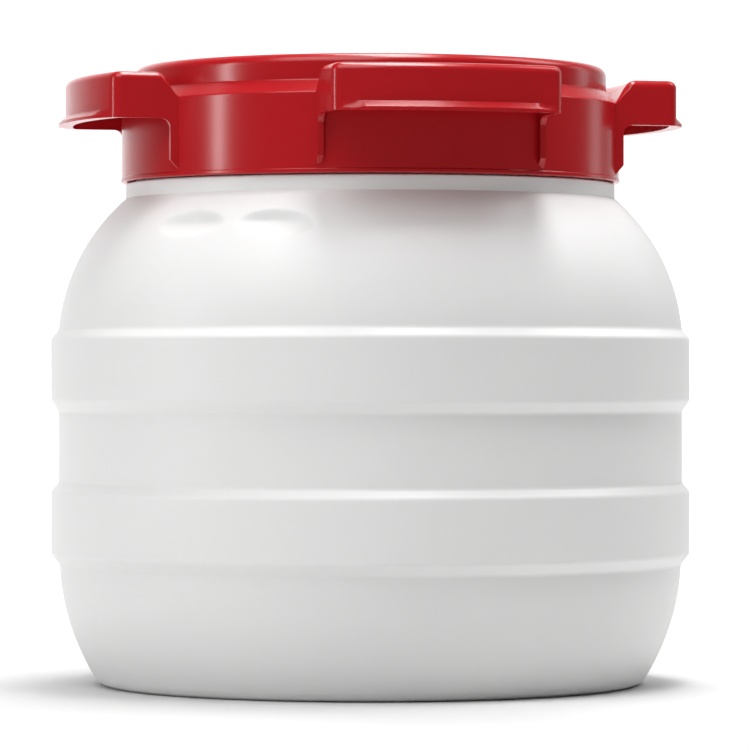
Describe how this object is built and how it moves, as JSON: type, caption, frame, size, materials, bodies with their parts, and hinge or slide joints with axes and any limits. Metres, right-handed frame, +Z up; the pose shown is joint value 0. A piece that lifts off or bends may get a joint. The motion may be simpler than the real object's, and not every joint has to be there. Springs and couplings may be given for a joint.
{
  "type": "fermenting bucket",
  "caption": "Round blow-moulded plastic fermenting barrel with hoop ribs and a wide neck, closed by a screw lid with hollow finger ears and a rubber sealing ring.",
  "frame": {"origin": "centre of the standing face, where the barrel's axis meets the surface that it stands on", "axes": "+Z up along the barrel's axis; one lid ear points along each of +X, +Y, -X and -Y when the lid is screwed home; the bridges between the thumb hollows stand 45.7 degrees from +X and from -X, about midway between ears"},
  "size_m": [0.2642, 0.2642, 0.2547],
  "materials": {
    "barrel_plastic": "white blow-moulded polyethylene, satin",
    "lid_plastic": "red injection-moulded polypropylene, satin to semi-gloss",
    "seal_rubber": "soft off-white rubber"
  },
  "bodies": {
    "barrel": {"barrel": "barrel_plastic"},
    "seal": {"lid_seal": "seal_rubber"},
    "lid": {"lid": "lid_plastic", "ear_front": "lid_plastic", "ear_right": "lid_plastic", "ear_back": "lid_plastic", "ear_left": "lid_plastic"}
  },
  "joints": [
    {"name": "lid_rise", "type": "slide", "parent": "barrel", "child": "seal", "axis": [0, 0, 1], "range_m": [0, 0.1]},
    {"name": "lid_turn", "type": "hinge", "parent": "seal", "child": "lid", "pos_m": [0, 0, 0.22], "axis": [0, 0, 1], "range_deg": [0, 1798]}
  ],
  "couplings": [
    {"joint": "lid_rise", "follows": "lid_turn", "m_per_rad": 0.0031831}
  ]
}
